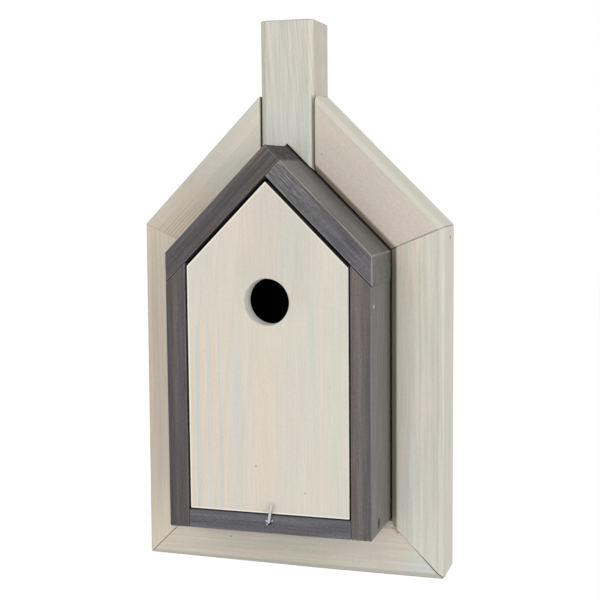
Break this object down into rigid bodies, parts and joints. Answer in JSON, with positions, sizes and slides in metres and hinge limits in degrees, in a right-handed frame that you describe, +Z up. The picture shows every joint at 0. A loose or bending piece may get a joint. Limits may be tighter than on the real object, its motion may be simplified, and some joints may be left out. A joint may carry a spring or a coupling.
{
  "type": "wall-hung nest box",
  "caption": "Wall-hung gabled nest box with a round entrance, a door that swings out at its foot, a turning hook latch and a mitred frame with a chimney post that carries the hanger.",
  "frame": {"origin": "on the back face of the chimney post, on its centre line, 60 mm under its top", "axes": "+Z up the post, +Y into the wall, +X to the right of someone who faces the door"},
  "size_m": [0.2262, 0.0931, 0.3951],
  "materials": {
    "washed_wood": "pale grey wash over softwood, matt",
    "dark_wood": "dark grey stain over softwood, satin",
    "door_wood": "cream wash over softwood, matt",
    "zinc_steel": "bright zinc plating"
  },
  "bodies": {
    "case": {"frame_bottom_rail": "washed_wood", "frame_left_stile": "washed_wood", "frame_right_stile": "washed_wood", "frame_left_rafter": "washed_wood", "frame_right_rafter": "washed_wood", "chimney_post": "washed_wood", "mitre_brads": "zinc_steel", "hanger_plate": "zinc_steel", "hanger_screws": "zinc_steel", "box_left_side": "dark_wood", "box_right_side": "dark_wood", "box_floor": "dark_wood", "box_back_panel": "dark_wood", "roof_left_board": "dark_wood", "roof_right_board": "dark_wood", "floor_staples": "zinc_steel", "frame_screws": "zinc_steel", "pivot_nail_left": "zinc_steel", "pivot_nail_right": "zinc_steel", "latch_collar": "zinc_steel"},
    "door": {"front_door": "door_wood"},
    "latch": {"latch_hook": "zinc_steel"}
  },
  "joints": [
    {"name": "door_hinge", "type": "hinge", "parent": "case", "child": "door", "pos_m": [0, -0.082, -0.13664], "axis": [-1, 0, 0], "range_deg": [0, 46]},
    {"name": "latch_turn", "type": "hinge", "parent": "case", "child": "latch", "pos_m": [0.0007, -0.09, -0.2877], "axis": [0, 1, 0], "range_deg": [0, 80]}
  ]
}
